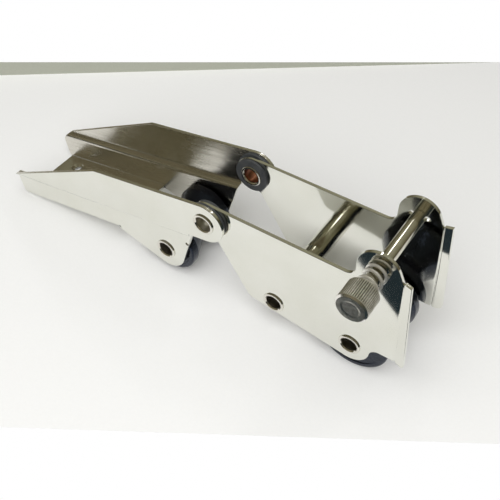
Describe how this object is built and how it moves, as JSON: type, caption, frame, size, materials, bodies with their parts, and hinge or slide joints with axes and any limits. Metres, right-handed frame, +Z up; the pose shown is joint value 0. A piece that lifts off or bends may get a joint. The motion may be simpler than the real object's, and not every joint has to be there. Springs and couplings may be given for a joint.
{
  "type": "tilting bow roller",
  "caption": "Folded stainless deck channel with a rubber roller and a hinged pair of cheek plates that carry a front roller and a sprung bayonet lock pin.",
  "frame": {"origin": "underside of the deck plate, midway between the two rear deck screws", "axes": "+X forward over the bow along the channel, +Y across towards the side away from the knob, +Z up from the deck"},
  "size_m": [0.4191, 0.1153, 0.1411],
  "materials": {
    "polished_sheet": "mirror-polished stainless steel sheet",
    "polished_tube": "polished stainless steel tube with rolled rims",
    "polished_pin": "ground and polished stainless steel bar",
    "knurled_steel": "turned and knurled stainless steel",
    "spring_wire": "drawn stainless spring wire",
    "black_rubber": "moulded black rubber, slightly glossy",
    "black_washer": "black nylon",
    "liner_plastic": "black acetal"
  },
  "bodies": {
    "channel": {"deck_channel": "polished_sheet", "rear_axle_tube": "polished_tube", "near_pivot_tube": "polished_tube", "far_pivot_tube": "polished_tube", "near_outer_washer": "black_washer", "far_outer_washer": "black_washer", "near_inner_washer": "black_washer", "far_inner_washer": "black_washer"},
    "rear_roller": {"rear_roller": "black_rubber", "rear_roller_liner": "liner_plastic"},
    "head": {"near_cheek": "polished_sheet", "far_cheek": "polished_sheet", "spacer_tube": "polished_tube", "front_axle_tube": "polished_tube"},
    "front_roller": {"front_roller": "black_rubber", "front_roller_liner": "liner_plastic"},
    "spring": {"lock_pin_spring": "spring_wire"},
    "lock": {"lock_pin": "polished_pin", "cross_pin": "polished_pin", "lock_pin_knob": "knurled_steel"}
  },
  "joints": [
    {"name": "head_tilt", "type": "hinge", "parent": "channel", "child": "head", "pos_m": [0.2193, 0, 0.05], "axis": [0, -1, 0], "range_deg": [-53, 170]},
    {"name": "rear_roller_spin", "type": "hinge", "parent": "channel", "child": "rear_roller", "pos_m": [0.1598, 0, -0.0048], "axis": [0, 1, 0], "continuous": true},
    {"name": "front_roller_spin", "type": "hinge", "parent": "head", "child": "front_roller", "pos_m": [0.34107, 0, -0.03645], "axis": [0, 1, 0], "continuous": true},
    {"name": "lock_pin_turn", "type": "hinge", "parent": "head", "child": "spring", "pos_m": [0.37058, 0, 0.05661], "axis": [0, 1, 0], "range_deg": [0, 90]},
    {"name": "lock_pin_push", "type": "slide", "parent": "spring", "child": "lock", "axis": [0, 1, 0], "range_m": [0, 0.007], "stiffness_N_per_m": 1500, "springref_m": -0.004, "deforming": ["lock_pin_spring"]}
  ]
}
